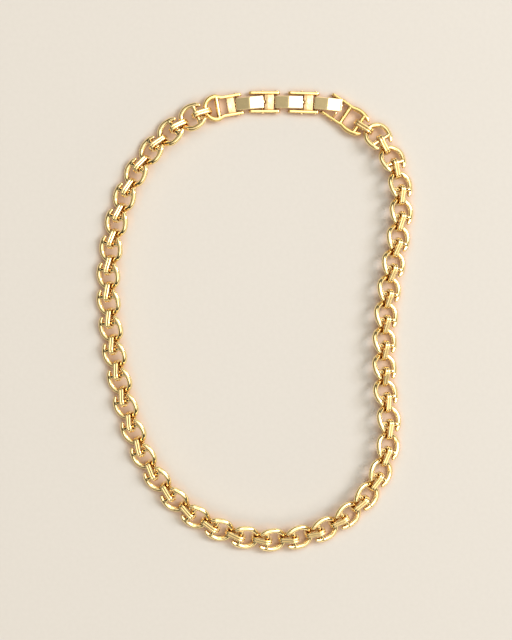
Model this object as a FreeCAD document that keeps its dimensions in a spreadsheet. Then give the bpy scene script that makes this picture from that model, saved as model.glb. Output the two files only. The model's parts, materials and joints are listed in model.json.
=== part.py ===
import FreeCAD, Part
import math
import os
import Sketcher
from FreeCAD import Placement, Rotation, Vector

# Chain necklace: 39 leaning rings with a cross bar and two horns, 40 twin-wire loops that tie
# each ring to the next one's bar, and a ladder clasp of four railed frames and three latches.
# Frame: the necklace lies on z = 0 with the clasp at +Y, +X to the right seen from above, +Z up.
# Lengths are millimetres and angles degrees.

doc = FreeCAD.newDocument("chain_necklace")
sheet = doc.addObject("Spreadsheet::Sheet", "Sizes")

SIZES = {
    # ring of the chain, measured from the axis of its cross bar
    "ring_wire_rad": 0.95,
    "ring_bend": 4.05,
    "bar_to_rim": 6.3,
    "bar_rad": 0.8,
    "arm_bend": 8.0,
    "horn_start": 0.9,
    "horn_end": 2.5,
    "horn_tip_rad": 0.55,
    # connector loop: two wires side by side, soldered along their length
    "loop_wire_rad": 0.54,
    "loop_wire_apart": 1.0,
    "loop_bar_play": 0.06,
    "loop_rim_play": 0.26,
    "loop_span": 3.727,
    # how a ring lies
    "ring_lean_deg": 30.0,
    "end_lean_step_deg": 11.0,
    "ring_pitch_deg": 16.0,
    "ring_count": 39,
    "pitch_along": 9.536,
    "rim_height": 2.457,
    # clasp frames, measured from the catch pin
    "rail_gap_half": 3.3,
    "rail_width": 1.1,
    "rail_half_tall": 0.9,
    "rail_back": 4.9,
    "rail_front": 6.3,
    "hinge_from_catch": 4.95,
    "pin_rad": 0.4,
    "pin_head_rad": 0.62,
    "pin_head_long": 0.3,
    "base_thick": 0.5,
    "base_start": 0.8,
    "base_stop": 4.0,
    "base_notch": 1.3,
    "notch_play": 0.5,
    "base_top": 0.35,
    # latch covers, measured from the hinge pin
    "latch_long": 9.1,
    "latch_lip": 0.3,
    "latch_half_wide": 2.2,
    "latch_thick": 0.4,
    "latch_under": 0.96,
    "latch_ramp_long": 4.6,
    "knuckle_rad": 0.86,
    "knuckle_bore": 0.48,
    "knuckle_half_wide": 0.8,
    "latch_heel": 0.3,
    "tongue_half_wide": 0.35,
    "tongue_bore": 0.66,
    "tongue_thick": 0.4,
    "clasp_height": 1.607,
    "cross_height": 2.407,
    # end pieces
    "left_bar_from_hinge": 7.1,
    "left_ring_long": 4.55,
    "left_rail_front": 2.05,
    "left_base_start": 0.95,
    "left_base_long": 2.6,
    "right_gap_half": 3.75,
    "right_bar_from_catch": 3.2,
    "right_cross_from_catch": 9.1,
    "right_bar_inset": 0.4,
    "end_wire_rad": 0.9,
}
for row, (alias, value) in enumerate(SIZES.items(), start=1):
    sheet.set("A%d" % row, alias.replace("_", " "))
    sheet.set("B%d" % row, str(value))
    sheet.setAlias("B%d" % row, alias)
doc.recompute()


def size(alias):
    return float(sheet.get(alias))


# ---------------------------------------------------------------- PartDesign helpers

def new_body(name):
    return doc.addObject("PartDesign::Body", name)


def plane_of(body, role):
    return next(o for o in body.Origin.OriginFeatures if o.Role == role)


def new_sketch(body, name, role, offset=None):
    sketch = body.newObject("Sketcher::SketchObject", name)
    sketch.AttachmentSupport = [(plane_of(body, role), "")]
    sketch.MapMode = "FlatFace"
    if offset is not None:
        sketch.AttachmentOffset = offset
    return sketch


def circle(sketch, name, x, y, radius_alias):
    """A circle on the sketch whose radius follows the sheet."""
    geo = sketch.addGeometry(Part.Circle(Vector(x, y, 0), Vector(0, 0, 1), size(radius_alias)), False)
    number = sketch.addConstraint(Sketcher.Constraint("Radius", geo, size(radius_alias)))
    sketch.renameConstraint(number, name)
    sketch.setExpression("Constraints." + name, "Sizes." + radius_alias)
    return geo


def arc(centre, radius, start_deg, stop_deg):
    """Arc through the angles start to stop, anticlockwise."""
    whole = Part.Circle(Vector(centre[0], centre[1], 0), Vector(0, 0, 1), radius)
    return Part.ArcOfCircle(whole, math.radians(start_deg), math.radians(stop_deg))


def pipe(body, name, profile, spine):
    feature = body.newObject("PartDesign::AdditivePipe", name)
    feature.Profile = profile
    count = len(spine.Geometry)
    feature.Spine = (spine, ["Edge%d" % (i + 1) for i in range(count)])
    feature.Mode = "Standard"
    return feature


def mirrored(body, name, originals, role):
    feature = body.newObject("PartDesign::Mirrored", name)
    feature.Originals = originals
    feature.MirrorPlane = (plane_of(body, role), [""])
    body.Tip = feature
    return feature


def horn(body, spine_centre_x, from_x, to_x, root_alias):
    """One tapering arm end: a loft along the arm's bend, past the cross bar."""
    bend = size("arm_bend")
    centre_y = size("ring_bend") - bend
    sections = []
    for step, (x, alias) in enumerate(((from_x, root_alias), (to_x, "horn_tip_rad"))):
        angle = math.asin((spine_centre_x - x) / bend)
        y = centre_y + bend * math.cos(angle)
        stand = Rotation(Vector(0, 0, 1), math.degrees(angle)) * Rotation(Vector(0, 1, 0), 90)
        sketch = new_sketch(body, "horn_section_%d" % step, "XY_Plane", Placement(Vector(x, y, 0), stand))
        circle(sketch, "round", 0, 0, alias)
        sections.append(sketch)
    loft = body.newObject("PartDesign::AdditiveLoft", "horn")
    loft.Profile = sections[0]
    loft.Sections = [sections[1]]
    return loft


# ---------------------------------------------------------------- ring of the chain

def make_ring():
    """Round rim, two arms that close in past the cross bar and end in tapered horns."""
    body = new_body("ring_pattern")
    bend = size("ring_bend")
    arm = size("arm_bend")
    centre = size("bar_to_rim") - bend
    tip_angle = math.degrees(math.asin((centre + size("horn_start")) / arm))

    spine = new_sketch(body, "ring_path", "XY_Plane")
    spine.addGeometry(arc((centre, 0), bend, 0, 90), False)
    spine.addGeometry(arc((centre, bend - arm), arm, 90, 90 + tip_angle), False)
    section = new_sketch(body, "ring_section", "XZ_Plane")
    circle(section, "round", size("bar_to_rim"), 0, "ring_wire_rad")
    rim = pipe(body, "rim_and_arm", section, spine)
    horn_end = horn(body, centre, -size("horn_start"), -size("horn_end"), "ring_wire_rad")
    mirrored(body, "other_arm", [rim, horn_end], "XZ_Plane")

    bar_sketch = new_sketch(body, "bar_section", "XZ_Plane")
    circle(bar_sketch, "round", 0, 0, "bar_rad")
    bar = body.newObject("PartDesign::Pad", "cross_bar")
    bar.Profile = bar_sketch
    bar.Midplane = True
    drop = arm - math.sqrt(arm ** 2 - centre ** 2)
    bar.Length = 2 * (bend - drop)
    body.Tip = bar
    return body


def mirrored_section(body, x):
    """Section of the second wire of a loop, across the loop's middle plane from the first."""
    section = new_sketch(body, "twin_section", "XY_Plane")
    circle(section, "round", x, -size("loop_wire_apart") / 2, "loop_wire_rad")
    return section


def make_loop():
    """Long twin-wire loop: a tight bend round the cross bar, a wider one round the rim."""
    body = new_body("loop_pattern")
    wire = size("loop_wire_rad")
    small = size("bar_rad") + size("loop_bar_play") + wire
    large = size("ring_wire_rad") + size("loop_rim_play") + wire
    span = size("loop_span")
    slope = math.degrees(math.asin((large - small) / span))

    spine = new_sketch(body, "loop_path", "XZ_Plane")
    start = Vector(small * math.sin(math.radians(slope)), small * math.cos(math.radians(slope)), 0)
    stop = Vector(large * math.sin(math.radians(slope)) - span, large * math.cos(math.radians(slope)), 0)
    spine.addGeometry(arc((0, 0), small, 0, 90 - slope), False)
    spine.addGeometry(Part.LineSegment(start, stop), False)
    spine.addGeometry(arc((-span, 0), large, 90 - slope, 180), False)
    section = new_sketch(body, "loop_section", "XY_Plane")
    circle(section, "round", small, size("loop_wire_apart") / 2, "loop_wire_rad")
    half = pipe(body, "half_wire", section, spine)
    mirrored(body, "whole_wire", [half], "XY_Plane")
    other = pipe(body, "other_half_wire", mirrored_section(body, small), spine)
    mirrored(body, "twin_wire", [other], "XY_Plane")
    return body


# ---------------------------------------------------------------- Part helpers

def part(kind, name, place=None, **bound):
    """A Part primitive or boolean whose sizes are expressions over the sheet."""
    thing = doc.addObject("Part::" + kind, name)
    for prop, text in bound.items():
        thing.setExpression(prop, text)
    if place is not None:
        thing.Placement = place
    return thing


def at(x, y, z, turn=None):
    return Placement(Vector(x, y, z), turn or Rotation())


SIDEWAYS = Rotation(Vector(1, 0, 0), -90)


def block(name, x0, x1, y_mid, wide, z0, z1):
    """A box from x0 to x1 and z0 to z1, centred on y_mid: each argument is an expression."""
    box = part("Box", name, Length="(%s) - (%s)" % (x1, x0), Width=wide, Height="(%s) - (%s)" % (z1, z0))
    box.setExpression("Placement.Base.x", x0)
    box.setExpression("Placement.Base.y", "(%s) - (%s) / 2" % (y_mid, wide))
    box.setExpression("Placement.Base.z", z0)
    return box


def rod(name, x, radius, half_long, z="0", y_mid="0"):
    """A round rod along Y, centred on y_mid: each argument is an expression."""
    cylinder = part("Cylinder", name, Radius=radius, Height="2 * (%s)" % half_long)
    cylinder.Placement = at(0, 0, 0, SIDEWAYS)
    cylinder.setExpression("Placement.Base.x", x)
    cylinder.setExpression("Placement.Base.y", "(%s) - (%s)" % (y_mid, half_long))
    cylinder.setExpression("Placement.Base.z", z)
    return cylinder


def fuse(name, pieces):
    union = part("MultiFuse", name)
    union.Shapes = pieces
    union.Refine = True
    return union


def cut(name, base, tool):
    difference = part("Cut", name)
    difference.Base = base
    difference.Tool = tool
    return difference


def copy_of(pattern, name, place):
    """One more piece of the same shape as its pattern."""
    link = doc.addObject("App::Link", name)
    link.LinkedObject = pattern
    link.Placement = place
    return link


def node(name, pieces, place=None):
    """A named sub-part of one or more separate solids."""
    group = part("Compound", name)
    group.Label = name
    group.Links = pieces
    if place is not None:
        group.Placement = place
    nodes.append(group)
    return group


# ---------------------------------------------------------------- clasp frames and pins

def rail_with_holes(name, side, back, front, gap, holes):
    """A side rail with rounded ends, drilled for the pins that cross the frame."""
    y_mid = "%s * (%s)" % (side, gap)
    tall = "Sizes.rail_half_tall"
    bar = block(name + "_bar", "%s + %s" % (back, tall), "%s - %s" % (front, tall), y_mid,
                "Sizes.rail_width", "-" + tall, tall)
    ends = [rod(name + "_end_%d" % i, x, tall, "Sizes.rail_width / 2", y_mid=y_mid)
            for i, x in enumerate(("%s + %s" % (back, tall), "%s - %s" % (front, tall)))]
    solid = fuse(name + "_solid", [bar] + ends)
    drills = [rod(name + "_drill_%d" % i, x, "Sizes.pin_rad", "Sizes.rail_width", y_mid=y_mid)
              for i, x in enumerate(holes)]
    for i, drill in enumerate(drills):
        solid = cut(name + "_drilled_%d" % i, solid, drill)
    return solid


def cross_pin(name, x, gap):
    """A pin through both rails with a flat round head on each outer face."""
    reach = "%s + Sizes.rail_width / 2" % gap
    shank = rod(name + "_shank", x, "Sizes.pin_rad", reach)
    heads = [rod("%s_head_%d" % (name, i), x, "Sizes.pin_head_rad", "Sizes.pin_head_long / 2",
                 y_mid="%s * (%s + Sizes.pin_head_long / 2)" % (side, reach))
             for i, side in enumerate(("-1", "1"))]
    return fuse(name + "_solid", [shank] + heads)


def base_plate(name, x0, x1, gap):
    """A thin plate that closes half of a frame, between its rails."""
    wide = "2 * (%s) - Sizes.rail_width" % gap
    return block(name, x0, x1, "0", wide, "Sizes.base_top - Sizes.base_thick", "Sizes.base_top")


TONGUE_END_DEG = -20


def make_latch():
    """A cover: knuckle on the hinge pin, ramp, level plate and a tongue that hooks the next pin."""
    body = new_body("latch_pattern")
    side = new_sketch(body, "latch_side", "XZ_Plane")
    knuckle = size("knuckle_rad")
    heel = -size("latch_heel")
    thick = size("latch_thick")
    level = size("latch_under")
    ramp_end = size("latch_ramp_long")
    far = size("latch_long")
    edge = far + size("latch_lip")
    corners = [(heel, knuckle), (ramp_end, level + thick), (edge, level + thick), (edge, level),
               (ramp_end, level), (heel, knuckle - thick), (heel, knuckle)]
    for (x0, z0), (x1, z1) in zip(corners, corners[1:]):
        side.addGeometry(Part.LineSegment(Vector(x0, z0, 0), Vector(x1, z1, 0)), False)
    cover = body.newObject("PartDesign::Pad", "cover")
    cover.Profile = side
    cover.Midplane = True
    cover.setExpression("Length", "2 * Sizes.latch_half_wide")
    knuckle_sketch = new_sketch(body, "knuckle_section", "XZ_Plane")
    circle(knuckle_sketch, "round", 0, 0, "knuckle_rad")
    barrel = body.newObject("PartDesign::Pad", "knuckle")
    barrel.Profile = knuckle_sketch
    barrel.Midplane = True
    barrel.setExpression("Length", "2 * Sizes.knuckle_half_wide")
    bore_sketch = new_sketch(body, "bore_section", "XZ_Plane")
    circle(bore_sketch, "round", 0, 0, "knuckle_bore")
    bore = body.newObject("PartDesign::Pocket", "bore")
    bore.Profile = bore_sketch
    bore.Type = "ThroughAll"
    bore.Midplane = True

    tongue_sketch = new_sketch(body, "tongue_side", "XZ_Plane")
    inner = size("tongue_bore")
    outer = inner + size("tongue_thick")
    tongue_sketch.addGeometry(arc((far, 0), outer, TONGUE_END_DEG, 90), False)
    tongue_sketch.addGeometry(arc((far, 0), inner, TONGUE_END_DEG, 90), False)
    for angle in (TONGUE_END_DEG, 90):
        turn = math.radians(angle)
        ends = [Vector(far + r * math.cos(turn), r * math.sin(turn), 0) for r in (inner, outer)]
        tongue_sketch.addGeometry(Part.LineSegment(*ends), False)
    tongue = body.newObject("PartDesign::Pad", "tongue")
    tongue.Profile = tongue_sketch
    tongue.Midplane = True
    tongue.setExpression("Length", "2 * Sizes.tongue_half_wide")
    body.Tip = tongue
    return body


def bent_arms(name, near_x, far_x, mid_x, root_x):
    """Two arms of round wire from near_x to far_x, widest at mid_x, horned beyond root_x."""
    body = new_body(name)
    arm = size("arm_bend")
    spine = new_sketch(body, name + "_path", "XY_Plane")
    widest = size("ring_bend")
    start_angle = 90 - math.degrees(math.asin((near_x - mid_x) / arm))
    stop_angle = 90 + math.degrees(math.asin((mid_x - root_x) / arm))
    spine.addGeometry(arc((mid_x, widest - arm), arm, start_angle, stop_angle), False)
    first = math.radians(start_angle)
    stand = Rotation(Vector(0, 0, 1), start_angle - 90) * Rotation(Vector(0, 1, 0), 90)
    section = new_sketch(body, name + "_section", "XY_Plane",
                         Placement(Vector(near_x, widest - arm + arm * math.sin(first), 0), stand))
    circle(section, "round", 0, 0, "end_wire_rad")
    wire = pipe(body, name + "_wire", section, spine)
    horn_end = horn(body, mid_x, root_x, far_x, "end_wire_rad")
    mirrored(body, name + "_pair", [wire, horn_end], "XZ_Plane")
    return body


def make_left_ring():
    """Round rim of the left end piece, from the hinge pin: a half ring closed by a bar."""
    body = new_body("left_ring")
    bend = size("ring_bend")
    spine = new_sketch(body, "left_ring_path", "XY_Plane")
    centre = -size("left_bar_from_hinge") - size("left_ring_long") + bend
    spine.addGeometry(arc((centre, 0), bend, 90, 180), False)
    spine.addGeometry(Part.LineSegment(Vector(centre, bend, 0),
                                       Vector(-size("left_bar_from_hinge"), bend, 0)), False)
    section = new_sketch(body, "left_ring_section", "XZ_Plane")
    circle(section, "round", centre - bend, 0, "end_wire_rad")
    rim = pipe(body, "left_rim", section, spine)
    mirrored(body, "left_rim_pair", [rim], "XZ_Plane")
    return body


nodes = []
ring_pattern = make_ring()
loop_pattern = make_loop()
latch_pattern = make_latch()

# ---------------------------------------------------------------- clasp: left to right

HINGE_1 = Vector(-6.357, 77.633, size("clasp_height"))
LATCH_HEADINGS = (5.0, -1.0, -6.0)
FRAME_HEADINGS = (10.0, 0.0, -2.0, -34.0)
CATCH_OFF_CENTRE = 1.9


def heading(angle_deg):
    return Rotation(Vector(0, 0, 1), angle_deg)


def tilt(angle_deg):
    """Turn about the local Y axis: positive lowers the +X end."""
    return Rotation(Vector(0, 1, 0), angle_deg)


def lean(angle_deg):
    return Rotation(Vector(1, 0, 0), angle_deg)


X = Vector(1, 0, 0)
Y = Vector(0, 1, 0)

rim_reach = size("left_bar_from_hinge") + size("left_ring_long")
left_tilt = math.degrees(math.asin((size("rim_height") - size("clasp_height")) / rim_reach))
left_place = Placement(HINGE_1, heading(FRAME_HEADINGS[0]) * tilt(left_tilt))

hinge = HINGE_1
latch_places = []
frame_places = []
for number, latch_heading in enumerate(LATCH_HEADINGS):
    latch_place = Placement(hinge, heading(latch_heading))
    latch_places.append(latch_place)
    hook = latch_place.multVec(X * size("latch_long"))
    if number < 2:
        frame_place = Placement(hook, heading(FRAME_HEADINGS[number + 1]))
        frame_places.append(frame_place)
        hinge = frame_place.multVec(X * size("hinge_from_catch"))

right_turn = heading(FRAME_HEADINGS[3])
right_catch = hook - right_turn.multVec(Y * CATCH_OFF_CENTRE)
cross_reach = size("right_cross_from_catch")
right_tilt = math.degrees(math.asin((size("cross_height") - size("clasp_height")) / cross_reach))
right_turn = heading(FRAME_HEADINGS[3] + 180) * tilt(right_tilt)
right_place = Placement(right_catch - right_turn.multVec(X * cross_reach), right_turn)

# ---------------------------------------------------------------- route of the chain

# The chain lies in an open oval that the clasp closes. From the left end piece it runs
# anticlockwise as tangent arcs, each one a turn in degrees and a radius in millimetres.
ROUTE = [(49.5, 52.5), (25.5, 91.5), (15, 184), (27.5, 60), (63, 48.5), (78.5, 38.5), (-19.5, 167),
         (7.5, 132), (44, 36.5)]
ROUTE_START = 198.5
# the last ring stands off the route by this much, so that the chain closes on the clasp
ROUTE_SHIFT = Vector(0.553, 0.821, 0)


def route_point(start, along):
    """Point of the route at a distance along it."""
    x, y, facing = start.x, start.y, math.radians(ROUTE_START)
    for turn_deg, radius in ROUTE:
        turn = math.radians(turn_deg)
        run = min(along, abs(turn) * radius)
        part_turn = math.copysign(run / radius, turn)
        chord = 2 * radius * math.sin(abs(part_turn) / 2)
        x += chord * math.cos(facing + part_turn / 2)
        y += chord * math.sin(facing + part_turn / 2)
        facing += part_turn
        along -= run
        if along <= 0:
            break
    return Vector(x + along * math.cos(facing), y + along * math.sin(facing), 0)


def lay_chain():
    """Placements of every ring and of every loop, link by link from the left end piece."""
    count = int(size("ring_count"))
    bend, to_rim, span = size("ring_bend"), size("bar_to_rim"), size("loop_span")
    pitch_deg = size("ring_pitch_deg")
    centre_x = to_rim - bend
    before = left_place
    rim_centre = before.multVec(X * (bend - rim_reach))
    start = rim_centre
    rings, loops = [], []
    for number in range(1, count + 2):
        last = number == count + 1
        aim = route_point(start, number * size("pitch_along")) + ROUTE_SHIFT * (number / count)
        facing = math.degrees(math.atan2(aim.y - rim_centre.y, aim.x - rim_centre.x))
        lean_deg = min(size("ring_lean_deg"), size("end_lean_step_deg") * min(number, count + 1 - number))
        if last:
            facing = FRAME_HEADINGS[3] + 180
        normal = before.Rotation.multVec(Vector(0, 0, 1))
        out = heading(facing).multVec(X)
        out = (out - normal * normal.dot(out)).normalize()
        rim = rim_centre + out * bend
        upright = heading(facing) * lean(lean_deg)
        drop = to_rim * math.sin(math.radians(pitch_deg)) * math.cos(math.radians(lean_deg))
        cross_z = size("cross_height") if last else size("rim_height") + drop
        climb = math.asin((cross_z - rim.z) / (span * math.cos(math.radians(lean_deg))))
        loop_turn = upright * tilt(-math.degrees(climb))
        cross = rim + loop_turn.multVec(X * span)
        loops.append(Placement(cross, loop_turn))
        if last:
            break
        before = Placement(cross, upright * tilt(pitch_deg))
        rings.append(before)
        rim_centre = before.multVec(X * centre_x)
    return rings, loops


ring_places, loop_places = lay_chain()
# the last loop sits exactly on the right end piece's cross bar
loop_places[-1] = Placement(right_place.Base, loop_places[-1].Rotation)

# ---------------------------------------------------------------- clasp patterns

GAP = "Sizes.rail_gap_half"
HINGE = "Sizes.hinge_from_catch"
outer_rail = rail_with_holes("outer_rail", "1", "-Sizes.rail_back", "Sizes.rail_front", GAP, ["0", HINGE])
inner_rail = rail_with_holes("inner_rail", "-1", "-Sizes.rail_back", "Sizes.rail_front", GAP, ["0", HINGE])
catch_pin = cross_pin("catch_pin", "0", GAP)
hinge_pin = cross_pin("hinge_pin", HINGE, GAP)
plain_base = base_plate("plain_base", "Sizes.base_start", "Sizes.base_stop", GAP)
notch = block("base_notch_block", "Sizes.base_start", "Sizes.base_notch", "0",
              "2 * Sizes.tongue_half_wide + Sizes.notch_play", "-Sizes.base_thick", "Sizes.base_thick")
frame_base = cut("frame_base", plain_base, notch)


def make_left_piece():
    """Half ring, straight bar and two rails that carry the first hinge pin."""
    bar_x = "-Sizes.left_bar_from_hinge"
    rails = [rail_with_holes("left_rail_" + word, side, bar_x, "Sizes.left_rail_front", GAP, ["0"])
             for word, side in (("outer", "1"), ("inner", "-1"))]
    bar = rod("left_bar", bar_x, "Sizes.bar_rad", "Sizes.ring_bend")
    return fuse("left_piece", [make_left_ring(), bar] + rails)


def make_right_piece():
    """Horned arms with a cross bar, a straight bar and two rails, from the cross bar's axis."""
    gap = "Sizes.right_gap_half"
    catch_x = "Sizes.right_cross_from_catch"
    bar_x = catch_x + " - Sizes.right_bar_from_catch"
    near = size("right_cross_from_catch") - size("right_bar_from_catch")
    centre = size("bar_to_rim") - size("ring_bend")
    arms = bent_arms("right_arms", near, -size("horn_end"), centre, -size("horn_start"))
    end_x = catch_x + " + Sizes.rail_back"
    rails = [rail_with_holes("right_rail_" + word, side, bar_x, end_x, gap, [catch_x])
             for word, side in (("inner", "1"), ("outer", "-1"))]
    bars = [rod("right_bar", bar_x, "Sizes.bar_rad", gap),
            rod("right_cross_bar", "0", "Sizes.bar_rad", "Sizes.ring_bend - Sizes.right_bar_inset")]
    return fuse("right_piece", [arms] + bars + rails)


left_piece = make_left_piece()
right_piece = make_right_piece()
left_hinge_pin = cross_pin("left_hinge", "0", GAP)
left_base = base_plate("left_base", "-Sizes.left_base_long - Sizes.left_base_start",
                       "-Sizes.left_base_start", GAP)
right_catch_pin = cross_pin("right_catch", "Sizes.right_cross_from_catch", "Sizes.right_gap_half")
doc.recompute()

# ---------------------------------------------------------------- the separate pieces

node("left_end_piece", [left_piece], left_place)
node("left_base_plate", [left_base], left_place)
node("left_hinge_pin", [left_hinge_pin], left_place)
for number, place in enumerate(frame_places, start=2):
    for word, pattern in (("outer_rail", outer_rail), ("inner_rail", inner_rail), ("catch_pin", catch_pin),
                          ("hinge_pin", hinge_pin), ("base_plate", frame_base)):
        node("frame_%d_%s" % (number, word), [pattern], place)
for number, place in enumerate(latch_places, start=1):
    node("latch_%d" % number, [latch_pattern], place)
node("right_end_piece", [right_piece], right_place)
node("right_catch_pin", [right_catch_pin], right_place)
node("end_connector", [loop_pattern], loop_places[0])
for number, place in enumerate(ring_places, start=1):
    ring = copy_of(ring_pattern, "ring_%02d" % number, place)
    loop = copy_of(loop_pattern, "loop_%02d" % number, loop_places[number])
    node("link_%02d" % number, [ring, loop])

doc.recompute()
failed = [o.Name for o in doc.Objects if "Invalid" in o.State or "Error" in o.State]
if failed:
    raise RuntimeError("failed features: %s" % failed)
os.makedirs("parts", exist_ok=True)
for piece in nodes:
    if piece.Shape.isNull() or not piece.Shape.isValid():
        raise RuntimeError("bad shape: " + piece.Label)
    piece.Shape.exportStep("parts/%s.step" % piece.Label)
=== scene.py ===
import json
import math

import bmesh
import bpy
from mathutils import Matrix, Vector


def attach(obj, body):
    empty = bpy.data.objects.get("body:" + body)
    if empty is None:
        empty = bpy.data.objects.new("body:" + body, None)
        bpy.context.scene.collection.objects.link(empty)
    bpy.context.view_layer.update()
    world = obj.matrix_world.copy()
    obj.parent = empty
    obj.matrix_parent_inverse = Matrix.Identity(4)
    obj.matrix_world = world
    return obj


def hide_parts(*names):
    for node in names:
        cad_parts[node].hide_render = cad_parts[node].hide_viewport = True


# Chain necklace: polished rings, bars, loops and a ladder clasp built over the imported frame.
# Lengths below are millimetres in each piece's own frame; MM turns them into metres.

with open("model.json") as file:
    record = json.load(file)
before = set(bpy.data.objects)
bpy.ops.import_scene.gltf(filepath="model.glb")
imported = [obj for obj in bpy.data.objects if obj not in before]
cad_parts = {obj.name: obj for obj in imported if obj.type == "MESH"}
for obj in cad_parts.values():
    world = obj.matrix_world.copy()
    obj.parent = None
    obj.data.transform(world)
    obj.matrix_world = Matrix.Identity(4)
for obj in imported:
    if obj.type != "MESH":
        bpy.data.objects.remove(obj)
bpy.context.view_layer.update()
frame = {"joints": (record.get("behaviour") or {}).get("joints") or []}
joints = {joint["name"]: joint for joint in frame["joints"]}

MM = 0.001
RING_COUNT = 39

RING_WIRE = 0.95
RING_BEND = 4.05
BAR_TO_RIM = 6.3
BAR = 0.8
ARM_BEND = 8.0
HORN_START, HORN_END, HORN_TIP = 0.9, 2.5, 0.55
LOOP_WIRE, LOOP_APART = 0.54, 1.0
LOOP_SMALL, LOOP_LARGE, LOOP_SPAN = 1.40, 1.75, 3.727
RING_PITCH = math.radians(16)
RIM_CENTRE = BAR_TO_RIM - RING_BEND
END_WIRE = 0.9

GAP, RIGHT_GAP = 3.3, 3.75
RAIL_HALF_WIDE, RAIL_HALF_TALL = 0.55, 0.9
RAIL_BACK, RAIL_FRONT = 4.9, 6.3
HINGE = 4.95
LEFT_BAR, LEFT_RING, LEFT_FRONT, LEFT_BASE = 7.1, 4.55, 2.05, 2.6
RIGHT_CROSS, RIGHT_BAR = 9.1, 3.2
LATCH_LONG = 9.1
CLASP_HEIGHT, CROSS_HEIGHT, RIM_HEIGHT = 1.607, 2.407, 2.457
LATCH_HEADINGS = (5, -1, -6)
FRAME_HEADINGS = {"left": 10, 2: 0, 3: -2, "right": 146}

ROUND = 2.0
SQUARE = 4.0

BASE_START, BASE_STOP, LEFT_BASE_START = 0.8, 4.0, 0.95
BASE_BOTTOM, BASE_TOP, BASE_EDGE = -0.15, 0.35, 0.07
NOTCH_HALF, NOTCH_DEEP = 0.6, 0.5
LATCH_SHEET, LATCH_LEVEL, LATCH_HALF_WIDE = 0.2, 1.16, 2.2
KNUCKLE, KNUCKLE_BORE, KNUCKLE_HALF, KNUCKLE_EDGE = 0.86, 0.48, 0.8, 0.06
TONGUE_HALF_WIDE = 0.35
BLEND_START, BLEND_STOP = 3.4, 6.8


# ---------------------------------------------------------------- mesh code

def smooth_mesh(name, bm):
    bmesh.ops.recalc_face_normals(bm, faces=bm.faces)
    for face in bm.faces:
        face.smooth = True
    mesh = bpy.data.meshes.new(name)
    bm.to_mesh(mesh)
    bm.free()
    mesh.validate()
    return mesh


def section(breadth, height, power, sides):
    """Points of a rounded section: power 2 is an ellipse, higher powers square it off."""
    points = []
    for k in range(sides):
        turn = 2 * math.pi * k / sides
        c, s = math.cos(turn), math.sin(turn)
        points.append((math.copysign(abs(c) ** (2 / power), c) * breadth,
                       math.copysign(abs(s) ** (2 / power), s) * height))
    return points


def sweep(name, stations, normal, sides=24, closed=False, outline=None):
    """A bar along a flat path. A station is (point, half breadth in the path's plane,
    half height along its normal, power of the section), or an outline serves for all."""
    bm = bmesh.new()
    normal = Vector(normal)
    count = len(stations)
    rings = []
    for k, (point, breadth, height, power) in enumerate(stations):
        before = stations[(k - 1) % count if closed else max(k - 1, 0)][0]
        after = stations[(k + 1) % count if closed else min(k + 1, count - 1)][0]
        along = (Vector(after) - Vector(before)).normalized()
        side = normal.cross(along).normalized()
        rings.append([bm.verts.new((Vector(point) + side * u + normal * v) * MM)
                      for u, v in outline or section(breadth, height, power, sides)])
    for k in range(count if closed else count - 1):
        a, b = rings[k], rings[(k + 1) % count]
        for i in range(sides):
            j = (i + 1) % sides
            bm.faces.new((a[i], a[j], b[j], b[i]))
    if not closed:
        bm.faces.new(rings[0])
        bm.faces.new(rings[-1])
    return smooth_mesh(name, bm)


def lathe(name, profile, sides=40):
    """A closed profile of (radius, y) turned about the Y axis."""
    bm = bmesh.new()
    rows = []
    for k in range(sides):
        turn = 2 * math.pi * k / sides
        rows.append([bm.verts.new(Vector((r * math.cos(turn), y, r * math.sin(turn))) * MM)
                     for r, y in profile])
    count = len(profile)
    for k in range(sides):
        a, b = rows[k], rows[(k + 1) % sides]
        for i in range(count):
            j = (i + 1) % count
            bm.faces.new((a[i], a[j], b[j], b[i]))
    bmesh.ops.remove_doubles(bm, verts=bm.verts, dist=1e-8)
    return smooth_mesh(name, bm)


def plate(name, outline, z0, z1, edge):
    """A flat plate over an outline, with small rounded edges."""
    bm = bmesh.new()
    low = [bm.verts.new(Vector((x, y, z0)) * MM) for x, y in outline]
    bottom = bm.faces.new(low)
    lifted = bmesh.ops.extrude_face_region(bm, geom=[bottom])
    top = [v for v in lifted["geom"] if isinstance(v, bmesh.types.BMVert)]
    bmesh.ops.translate(bm, verts=top, vec=Vector((0, 0, z1 - z0)) * MM)
    bmesh.ops.recalc_face_normals(bm, faces=bm.faces)
    bmesh.ops.bevel(bm, geom=list(bm.edges), offset=edge * MM, segments=3, profile=0.5,
                    affect="EDGES", clamp_overlap=True)
    return smooth_mesh(name, bm)


def twin_outline(wire, apart, steps):
    """Outline of two round wires soldered side by side, with a groove between them."""
    reach = math.pi - math.acos(apart / 2 / wire)
    one = [(wire * math.sin(a), apart / 2 + wire * math.cos(a)) for a in spread(reach, -reach, steps)]
    return one + [(-u, -v) for u, v in one][1:-1]


def smooth_step(t):
    t = min(max(t, 0.0), 1.0)
    return t * t * (3 - 2 * t)


def spread(start, stop, count):
    return [start + (stop - start) * k / (count - 1) for k in range(count)]


# ---------------------------------------------------------------- gold

def new_material(name):
    material = bpy.data.materials.new(name)
    material.use_nodes = True
    return material, material.node_tree.nodes, material.node_tree.links, \
        material.node_tree.nodes["Principled BSDF"]


def mix_colour(nodes, links, factor, a, b):
    mix = nodes.new("ShaderNodeMix")
    mix.data_type = "RGBA"
    links.new(factor, mix.inputs["Factor"])
    for key, value in (("A", a), ("B", b)):
        sockets = [s for s in mix.inputs if s.name == key and s.type == "RGBA"]
        if isinstance(value, tuple):
            sockets[0].default_value = value
        else:
            links.new(value, sockets[0])
    return next(s for s in mix.outputs if s.type == "RGBA")


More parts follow.
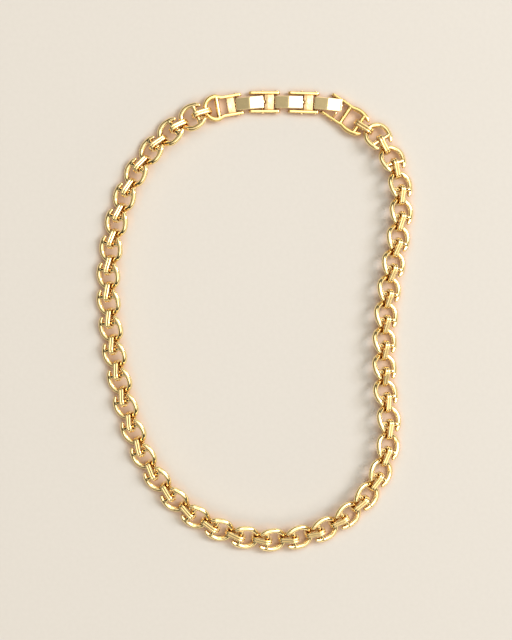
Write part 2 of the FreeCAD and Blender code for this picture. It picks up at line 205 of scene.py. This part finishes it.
def ranged(nodes, links, value, from_low, from_high, to_low, to_high):
    node = nodes.new("ShaderNodeMapRange")
    links.new(value, node.inputs["Value"])
    for key, number in (("From Min", from_low), ("From Max", from_high), ("To Min", to_low),
                        ("To Max", to_high)):
        node.inputs[key].default_value = number
    return node.outputs["Result"]


def gold(name, base, gap_shade, rough, scratch, grain=0.0):
    """Polished gold plate: hazy wear, fine scratches, and painted shade that darkens and reddens the
    colour down in the gaps.
    """
    material, nodes, links, shader = new_material(name)
    shader.inputs["Metallic"].default_value = 1.0
    place = nodes.new("ShaderNodeTexCoord")
    haze = nodes.new("ShaderNodeTexNoise")
    haze.inputs["Scale"].default_value = 260
    haze.inputs["Detail"].default_value = 4
    links.new(place.outputs["Object"], haze.inputs["Vector"])
    stretch = nodes.new("ShaderNodeMapping")
    stretch.inputs["Scale"].default_value = (900, 5200, 5200)
    stretch.inputs["Rotation"].default_value = (0.3, 0.2, 0.5)
    links.new(place.outputs["Object"], stretch.inputs["Vector"])
    lines = nodes.new("ShaderNodeTexNoise")
    lines.inputs["Scale"].default_value = 1.0
    lines.inputs["Detail"].default_value = 3
    links.new(stretch.outputs["Vector"], lines.inputs["Vector"])

    # painted shade: occlusion within 1.6 mm mixes the darker, redder gap shade colour into the base colour
    gaps = nodes.new("ShaderNodeAmbientOcclusion")
    gaps.samples = 6
    gaps.inputs["Distance"].default_value = 0.0016
    open_part = ranged(nodes, links, gaps.outputs["AO"], 0.30, 0.92, 0.0, 1.0)
    tone = mix_colour(nodes, links, ranged(nodes, links, haze.outputs["Fac"], 0.35, 0.65, 0, 1),
                      base, tuple(c * 0.93 for c in base[:3]) + (1,))
    links.new(mix_colour(nodes, links, open_part, gap_shade, tone), shader.inputs["Base Color"])

    rough_sum = nodes.new("ShaderNodeMath")
    rough_sum.operation = "ADD"
    links.new(ranged(nodes, links, haze.outputs["Fac"], 0.3, 0.7, rough * 0.7, rough * 1.3),
              rough_sum.inputs[0])
    links.new(ranged(nodes, links, lines.outputs["Fac"], 0.55, 0.75, 0.0, scratch),
              rough_sum.inputs[1])
    links.new(rough_sum.outputs["Value"], shader.inputs["Roughness"])

    bump = nodes.new("ShaderNodeBump")
    bump.inputs["Strength"].default_value = 0.03
    bump.inputs["Distance"].default_value = 0.00004
    links.new(lines.outputs["Fac"], bump.inputs["Height"])
    out = bump
    if grain:
        bands = nodes.new("ShaderNodeTexWave")
        bands.wave_type = "BANDS"
        bands.bands_direction = "X"
        bands.inputs["Scale"].default_value = 230
        bands.inputs["Distortion"].default_value = 0.15
        bands.inputs["Detail"].default_value = 2
        links.new(place.outputs["Object"], bands.inputs["Vector"])
        out = nodes.new("ShaderNodeBump")
        out.inputs["Strength"].default_value = grain
        out.inputs["Distance"].default_value = 0.0001
        links.new(bands.outputs["Fac"], out.inputs["Height"])
        links.new(bump.outputs["Normal"], out.inputs["Normal"])
    links.new(out.outputs["Normal"], shader.inputs["Normal"])
    return material


# painted shade colour, darker and redder, laid into the gaps of every gold material
PAINTED_GAP_SHADE = (0.50, 0.22, 0.06, 1)
CHAIN_GOLD = gold("chain_gold", (0.99, 0.79, 0.41, 1), PAINTED_GAP_SHADE, 0.055, 0.08)
CLASP_GOLD = gold("clasp_gold", (0.90, 0.67, 0.28, 1), PAINTED_GAP_SHADE, 0.13, 0.12)
LATCH_GOLD = gold("latch_gold", (0.97, 0.80, 0.47, 1), PAINTED_GAP_SHADE, 0.07, 0.08)
PLATE_GOLD = gold("plate_gold", (0.92, 0.68, 0.38, 1), PAINTED_GAP_SHADE, 0.24, 0.10, 0.16)
PIN_GOLD = gold("pin_gold", (0.97, 0.77, 0.42, 1), PAINTED_GAP_SHADE, 0.08, 0.08)


# ---------------------------------------------------------------- placing

def show(name, mesh, place, body, slot, material, *nodes):
    """One visible piece: it rides on a CAD body and stands for the CAD nodes given."""
    if not mesh.materials:
        mesh.materials.append(material)
    piece = bpy.data.objects.new(name, mesh)
    bpy.context.scene.collection.objects.link(piece)
    piece.matrix_world = place
    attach(piece, body)
    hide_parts(*nodes)
    return piece


def turned(origin, heading, tilt=0.0, lean=0.0):
    """Placement at an origin in metres: heading about Z, then lean about X, then tilt about Y."""
    return (Matrix.Translation(origin) @ Matrix.Rotation(heading, 4, "Z")
            @ Matrix.Rotation(lean, 4, "X") @ Matrix.Rotation(tilt, 4, "Y"))


def cross_bar(number):
    """Centre of a cross bar in metres, its axis, and the heading and lean of that axis."""
    joint = joints["bar_%02d_pivot" % number]
    axis = Vector(joint["axis"]) * (-1 if number % 2 else 1)
    return Vector(joint["pos_m"]), axis, math.atan2(-axis.x, axis.y), math.asin(axis.z)


# ---------------------------------------------------------------- chain

def rounded_tip(stations, steps=6):
    """Adds a rounded cap beyond the last station of a tapering bar."""
    (before, *_), (last, breadth, height, power) = stations[-2:]
    along = (Vector(last) - Vector(before)).normalized()
    for k in range(1, steps + 1):
        turn = math.pi / 2 * k / steps * 0.97
        stations.append((Vector(last) + along * breadth * math.sin(turn), breadth * math.cos(turn),
                         height * math.cos(turn), power))


def arm_point(x):
    """Point on the axis of an arm at x."""
    y = RING_BEND - ARM_BEND + math.sqrt(ARM_BEND ** 2 - (x - RIM_CENTRE) ** 2)
    return Vector((x, y, 0))


def horned_arm(wire):
    """Stations from the middle of an arm out to the tip of its horn."""
    stations = []
    tip_x = -HORN_END + HORN_TIP * 0.8
    for x in spread(RIM_CENTRE, tip_x, 40)[1:]:
        taper = smooth_step((-HORN_START - x) / (HORN_END - HORN_START) * 0.9)
        radius = wire + (HORN_TIP - wire) * taper
        stations.append((arm_point(x), radius, radius, ROUND))
    rounded_tip(stations)
    return stations


def mirror_stations(stations):
    return [(Vector((p[0], -p[1], p[2])), *rest) for p, *rest in reversed(stations)]


def ring_mesh():
    arm = horned_arm(RING_WIRE)
    rim = [(Vector((RIM_CENTRE + RING_BEND * math.cos(a), RING_BEND * math.sin(a), 0)),
            RING_WIRE, RING_WIRE, ROUND) for a in spread(-math.pi / 2, math.pi / 2, 64)]
    return sweep("ring", mirror_stations(arm) + rim + arm, (0, 0, 1), sides=28)


def bar_mesh(name, x, half_long, radius, flare):
    """A bar across two arms, thickening into them where it is soldered."""
    stations = []
    for y in spread(-half_long, half_long, 41):
        root = smooth_step((abs(y) - half_long + 1.5) / 0.9)
        swollen = radius + flare * root * root
        stations.append((Vector((x, y, 0)), swollen, swollen, ROUND))
    return sweep(name, stations, (0, 0, 1), sides=28)


def loop_mesh():
    """Long loop in the XZ plane: a small bend round the bar, a wider one round the rim."""
    slope = math.asin((LOOP_LARGE - LOOP_SMALL) / LOOP_SPAN)
    quarter = math.pi / 2 - slope
    points = [Vector((LOOP_SMALL * math.cos(a), 0, LOOP_SMALL * math.sin(a)))
              for a in spread(-quarter, quarter, 28)]
    wide = [Vector((LOOP_LARGE * math.cos(a) - LOOP_SPAN, 0, LOOP_LARGE * math.sin(a)))
            for a in spread(quarter, 2 * math.pi - quarter, 40)]
    run = spread(0, 1, 12)[1:-1]
    points += [points[-1].lerp(wide[0], t) for t in run] + wide
    points += [wide[-1].lerp(points[0], t) for t in run]
    outline = twin_outline(LOOP_WIRE, LOOP_APART, 19)
    return sweep("loop", [(p, 0, 0, ROUND) for p in points], (0, 1, 0), sides=len(outline),
                 closed=True, outline=outline)


ring = ring_mesh()
ring_bar = bar_mesh("ring_bar", 0, arm_point(0).y, BAR, 0.13)
loop = loop_mesh()

hinge_1 = Vector(joints["latch_1_hinge"]["pos_m"])
rim_reach = LEFT_BAR + LEFT_RING
left_place = turned(hinge_1, math.radians(FRAME_HEADINGS["left"]),
                    math.asin((RIM_HEIGHT - CLASP_HEIGHT) / rim_reach))

before, rim_middle = left_place, left_place @ Vector(((RING_BEND - rim_reach) * MM, 0, 0))
for number in range(1, RING_COUNT + 2):
    centre, axis, heading, lean = cross_bar(number)
    # the loop runs from the last rim to this bar
    normal = before.to_3x3() @ Vector((0, 0, 1))
    out = Vector((math.cos(heading), math.sin(heading), 0))
    rim = rim_middle + (out - normal * normal.dot(out)).normalized() * RING_BEND * MM
    along = (centre - rim).normalized()
    turn = Matrix((along, axis, along.cross(axis))).transposed().to_4x4()
    loop_place = Matrix.Translation(centre) @ turn
    carrier = "link_%02d" % (number - 1) if number > 1 else "left_end"
    stands_for = carrier if number > 1 else "end_connector"
    show("connector_%02d" % number, loop, loop_place, carrier, "chain_gold", CHAIN_GOLD, stands_for)
    if number > RING_COUNT:
        break
    before = turned(centre, heading, RING_PITCH, lean)
    rim_middle = before @ Vector((RIM_CENTRE * MM, 0, 0))
    link = "link_%02d" % number
    show("ring_%02d" % number, ring, before, link, "chain_gold", CHAIN_GOLD, link)
    show("ring_bar_%02d" % number, ring_bar, before, link, "chain_gold", CHAIN_GOLD, link)


# ---------------------------------------------------------------- clasp

def rail_end_run(x_tip, y, inward):
    """A rail's rounded end: its height follows a half circle, its breadth a small bevel."""
    tall, stations = RAIL_HALF_TALL, []
    for k in range(1, 13):
        turn = math.pi / 2 * k / 12
        run = tall * (1 - math.cos(turn))
        bevel = min(1.0, 0.7 + 0.3 * smooth_step(run / 0.22))
        stations.append((Vector((x_tip + inward * run, y, 0)), RAIL_HALF_WIDE * bevel,
                         tall * math.sin(turn), SQUARE))
    return stations


def rail_mesh(name, back, front, y):
    first = rail_end_run(back, y, 1)
    last = list(reversed(rail_end_run(front, y, -1)))
    middle = [(Vector((x, y, 0)), RAIL_HALF_WIDE, RAIL_HALF_TALL, SQUARE)
              for x in spread(first[-1][0].x, last[0][0].x, 8)[1:-1]]
    return sweep(name, first + middle + last, (0, 0, 1), sides=40)


def blended(points, wire, start, stop):
    """Stations that change from a round wire at x start to a rail at x stop."""
    stations = []
    for point in points:
        t = smooth_step((point.x - start) / (stop - start))
        stations.append((point, wire + (RAIL_HALF_WIDE - wire) * t, wire + (RAIL_HALF_TALL - wire) * t,
                         ROUND + (SQUARE - ROUND) * t * t))
    return stations


def left_frame_mesh():
    """One continuous bar: rail, round the half ring, and rail again."""
    centre = -LEFT_BAR - LEFT_RING + RING_BEND
    stations = rail_end_run(LEFT_FRONT, GAP, -1)
    start, stop = centre, -LEFT_BAR + 2.2
    for x in spread(stations[-1][0].x, start, 44)[1:-1]:
        y = RING_BEND + (GAP - RING_BEND) * smooth_step((x - start) / (stop - start))
        stations += blended([Vector((x, y, 0))], END_WIRE, start, stop)
    arc = [Vector((centre + RING_BEND * math.cos(a), RING_BEND * math.sin(a), 0))
           for a in spread(math.pi / 2, math.pi, 33)]
    stations += [(p, END_WIRE, END_WIRE, ROUND) for p in arc]
    return sweep("left_frame", stations + mirror_stations(stations)[1:], (0, 0, 1), sides=40)


def right_side_mesh(side):
    """Rail that runs on as an arm and ends in a horn."""
    stations = rail_end_run(RIGHT_CROSS + RAIL_BACK, RIGHT_GAP, -1)
    start, stop = BLEND_START, BLEND_STOP
    for x in spread(stations[-1][0].x, RIM_CENTRE, 48)[1:]:
        blend = smooth_step((x - start) / (stop - start))
        y = RIGHT_GAP * blend + (1 - blend) * arm_point(min(x, stop)).y
        stations += blended([Vector((x, y, 0))], END_WIRE, start, stop)
    stations += horned_arm(END_WIRE)
    if side < 0:
        stations = mirror_stations(stations)
    return sweep("right_side", stations, (0, 0, 1), sides=40)


def pin_mesh(gap):
    """A pin with a domed rivet head outside each rail."""
    reach = gap + RAIL_HALF_WIDE
    head = [(0.40, 0.0), (0.60, 0.0), (0.62, 0.03), (0.62, 0.12), (0.58, 0.20), (0.48, 0.255),
            (0.32, 0.285), (0.16, 0.298), (0.0, 0.30)]
    upper = [(r, reach + y) for r, y in head]
    lower = [(r, -y) for r, y in reversed(upper)]
    return lathe("pin", lower + upper)


def base_mesh(x0, x1, gap, notched):
    wide = gap - RAIL_HALF_WIDE - 0.005
    outline = [(x0, -wide), (x1, -wide), (x1, wide), (x0, wide)]
    if notched:
        outline += [(x0, NOTCH_HALF), (x0 + NOTCH_DEEP, NOTCH_HALF), (x0 + NOTCH_DEEP, -NOTCH_HALF),
                    (x0, -NOTCH_HALF)]
    return plate("base", outline, BASE_BOTTOM, BASE_TOP, BASE_EDGE)


def latch_meshes():
    """Cover with a ramp and a level end, a knuckle for the hinge pin and a hooked tongue."""
    level = LATCH_LEVEL
    points = [Vector((-0.34, 0, 0.56)), Vector((-0.33, 0, 0.60)), Vector((-0.27, 0, 0.655)),
              Vector((-0.15, 0, 0.675))]
    points += [Vector((x, 0, 0.66 + (level - 0.66) * (x + 0.3) / 4.9)) for x in spread(0.1, 4.3, 8)]
    points += [Vector((4.6, 0, level - 0.008)), Vector((4.9, 0, level))]
    points += [Vector((x, 0, level)) for x in spread(5.4, 9.2, 6)]
    points += [Vector((9.34, 0, level)), Vector((9.4, 0, level))]
    stations = []
    for k, point in enumerate(points):
        ends = min(k, len(points) - 1 - k)
        shrink = (0.55, 0.85, 1.0)[min(ends, 2)]
        inset = (0.12, 0.04, 0.0)[min(ends, 2)]
        stations.append((point, LATCH_SHEET * shrink, LATCH_HALF_WIDE - inset, 9.0))
    cover = sweep("cover", stations, (0, 1, 0), sides=48)
    long, inset = KNUCKLE_HALF, KNUCKLE_EDGE
    knuckle = lathe("knuckle", [(KNUCKLE_BORE, -long), (KNUCKLE - inset, -long), (KNUCKLE, inset - long),
                                (KNUCKLE, long - inset), (KNUCKLE - inset, long), (KNUCKLE_BORE, long)],
                    sides=48)
    arc = [Vector((LATCH_LONG + KNUCKLE * math.cos(a), 0, KNUCKLE * math.sin(a)))
           for a in spread(math.radians(95), math.radians(-20), 24)]
    tongue = sweep("tongue", [(p, LATCH_SHEET, TONGUE_HALF_WIDE, 5.0) for p in arc], (0, 1, 0), sides=24)
    return cover, knuckle, tongue


cover, knuckle, tongue = latch_meshes()
pin, wide_pin = pin_mesh(GAP), pin_mesh(RIGHT_GAP)
rails = {"outer": rail_mesh("outer_rail", -RAIL_BACK, RAIL_FRONT, GAP),
         "inner": rail_mesh("inner_rail", -RAIL_BACK, RAIL_FRONT, -GAP)}
frame_base = base_mesh(BASE_START, BASE_STOP, GAP, True)

show("left_frame", left_frame_mesh(), left_place, "left_end", "clasp_gold", CLASP_GOLD, "left_end_piece")
show("left_bar", bar_mesh("left_bar", -LEFT_BAR, RING_BEND, BAR, 0.08), left_place, "left_end",
     "clasp_gold", CLASP_GOLD, "left_end_piece")
show("left_base", base_mesh(-LEFT_BASE - LEFT_BASE_START, -LEFT_BASE_START, GAP, False), left_place,
     "left_end", "plate_gold", PLATE_GOLD, "left_base_plate")
show("left_pin", pin, left_place, "left_end", "pin_gold", PIN_GOLD, "left_hinge_pin")

for number in (2, 3):
    body = "frame_%d" % number
    place = turned(Vector(joints[body + "_catch"]["pos_m"]), math.radians(FRAME_HEADINGS[number]))
    for side, mesh in rails.items():
        show("%s_%s" % (body, side), mesh, place, body, "clasp_gold", CLASP_GOLD,
             "%s_%s_rail" % (body, side))
    show(body + "_catch", pin, place, body, "pin_gold", PIN_GOLD, body + "_catch_pin")
    show(body + "_hinge", pin, place @ Matrix.Translation((HINGE * MM, 0, 0)), body, "pin_gold", PIN_GOLD,
         body + "_hinge_pin")
    show(body + "_base", frame_base, place, body, "plate_gold", PLATE_GOLD, body + "_base_plate")

for number, heading in enumerate(LATCH_HEADINGS, start=1):
    body = "latch_%d" % number
    place = turned(Vector(joints[body + "_hinge"]["pos_m"]), math.radians(heading))
    for word, mesh in (("cover", cover), ("knuckle", knuckle), ("tongue", tongue)):
        show("%s_%s" % (body, word), mesh, place, body, "latch_gold", LATCH_GOLD, body)

right_place = turned(cross_bar(RING_COUNT + 1)[0], math.radians(FRAME_HEADINGS["right"]),
                     math.asin((CROSS_HEIGHT - CLASP_HEIGHT) / RIGHT_CROSS))
for word, side in (("inner", 1), ("outer", -1)):
    show("right_%s_side" % word, right_side_mesh(side), right_place, "right_end", "clasp_gold", CLASP_GOLD,
         "right_end_piece")
for word, x, half in (("cross_bar", 0, arm_point(0).y),
                      ("straight_bar", RIGHT_CROSS - RIGHT_BAR, RIGHT_GAP)):
    show("right_" + word, bar_mesh("right_" + word, x, half, BAR, 0.08), right_place, "right_end",
         "clasp_gold", CLASP_GOLD, "right_end_piece")
show("right_pin", wide_pin, right_place @ Matrix.Translation((RIGHT_CROSS * MM, 0, 0)), "right_end",
     "pin_gold", PIN_GOLD, "right_catch_pin")


# ---------------------------------------------------------------- floor, light and camera

def paper():
    """Matt cream board, with a painted peach glow close to the metal that stands in for its reflected
    light.
    """
    material, nodes, links, shader = new_material("cream_board")
    place = nodes.new("ShaderNodeTexCoord")
    fibre = nodes.new("ShaderNodeTexNoise")
    fibre.inputs["Scale"].default_value = 700
    fibre.inputs["Detail"].default_value = 5
    links.new(place.outputs["Object"], fibre.inputs["Vector"])
    board = mix_colour(nodes, links, ranged(nodes, links, fibre.outputs["Fac"], 0.3, 0.7, 0, 1),
                       (0.552, 0.530, 0.512, 1), (0.566, 0.544, 0.526, 1))
    # painted reflected light: occlusion near the metal mixes a peach glow into the board colour
    gaps = nodes.new("ShaderNodeAmbientOcclusion")
    gaps.samples = 8
    gaps.inputs["Distance"].default_value = 0.006
    open_part = ranged(nodes, links, gaps.outputs["AO"], 0.40, 0.86, 0.0, 1.0)
    painted_glow_board = mix_colour(nodes, links, open_part, (0.74, 0.50, 0.34, 1), board)
    links.new(painted_glow_board, shader.inputs["Base Color"])
    shader.inputs["Roughness"].default_value = 0.9
    shader.inputs["Specular IOR Level"].default_value = 0.1
    bump = nodes.new("ShaderNodeBump")
    bump.inputs["Strength"].default_value = 0.05
    bump.inputs["Distance"].default_value = 0.0001
    links.new(fibre.outputs["Fac"], bump.inputs["Height"])
    links.new(bump.outputs["Normal"], shader.inputs["Normal"])
    return material


bm = bmesh.new()
bmesh.ops.create_grid(bm, x_segments=4, y_segments=4, size=3.0)
floor = bpy.data.objects.new("floor", smooth_mesh("floor", bm))
floor.data.materials.append(paper())
bpy.context.scene.collection.objects.link(floor)
floor.location = (0, 0, -0.00002)


def studio_sky():
    """Soft overhead studio: a dark spot straight up, bright boxes round it, darker walls."""
    world = bpy.data.worlds.new("studio")
    bpy.context.scene.world = world
    world.use_nodes = True
    nodes, links = world.node_tree.nodes, world.node_tree.links
    background = nodes["Background"]
    where = nodes.new("ShaderNodeTexCoord")
    parts = nodes.new("ShaderNodeSeparateXYZ")
    links.new(where.outputs["Generated"], parts.inputs["Vector"])
    ramp = nodes.new("ShaderNodeValToRGB")
    bands = [(0.0, 0.9), (0.16, 1.0), (0.24, 0.35), (0.34, 0.10), (0.60, 0.09), (0.70, 0.9), (0.77, 1.8),
             (0.88, 1.8), (0.93, 0.8), (0.955, 0.55), (0.982, 0.62), (0.990, 1.15), (0.9950, 1.1),
             (0.9985, 0.10)]
    ramp.color_ramp.elements[0].position = bands[0][0]
    ramp.color_ramp.elements[1].position = bands[-1][0]
    for position, _ in bands[1:-1]:
        ramp.color_ramp.elements.new(position)
    for element, (_, level) in zip(ramp.color_ramp.elements, bands):
        element.color = (level, level * 0.93, level * 0.79, 1)
    links.new(parts.outputs["Z"], ramp.inputs["Fac"])
    right = nodes.new("ShaderNodeMapRange")
    links.new(parts.outputs["X"], right.inputs["Value"])
    for key, number in (("From Min", -0.26), ("From Max", 0.04), ("To Min", 0.55), ("To Max", 1.85)):
        right.inputs[key].default_value = number
    links.new(ramp.outputs["Color"], background.inputs["Color"])
    links.new(right.outputs["Result"], background.inputs["Strength"])


def area_light(name, place, size, watts, colour):
    lamp = bpy.data.lights.new(name, "AREA")
    lamp.shape = "RECTANGLE"
    lamp.size, lamp.size_y = size
    lamp.energy = watts
    lamp.color = colour
    light = bpy.data.objects.new(name, lamp)
    bpy.context.scene.collection.objects.link(light)
    light.location = place
    light.rotation_mode = "QUATERNION"
    light.rotation_quaternion = (-Vector(place)).to_track_quat("-Z", "Y")


studio_sky()
area_light("key", (1.24, 0.44, 1.24), (0.60, 0.84), 20.0, (0.94, 0.97, 1.0))
area_light("overhead", (0.07, 0.25, 1.2), (0.30, 0.34), 0.8, (1.0, 0.99, 0.96))

VIEW_TALL = 0.2298
LENS = 100
camera_data = bpy.data.cameras.new("camera")
camera_data.lens = LENS
camera_data.sensor_width = 36
camera_data.clip_start, camera_data.clip_end = 0.01, 20
camera = bpy.data.objects.new("camera", camera_data)
bpy.context.scene.collection.objects.link(camera)
camera.location = (0.0004, 0.0004, VIEW_TALL / 2 / (36 / 2 / LENS))
camera.rotation_euler = (0, 0, 0)
bpy.context.scene.camera = camera
bpy.context.scene.view_settings.view_transform = "Standard"
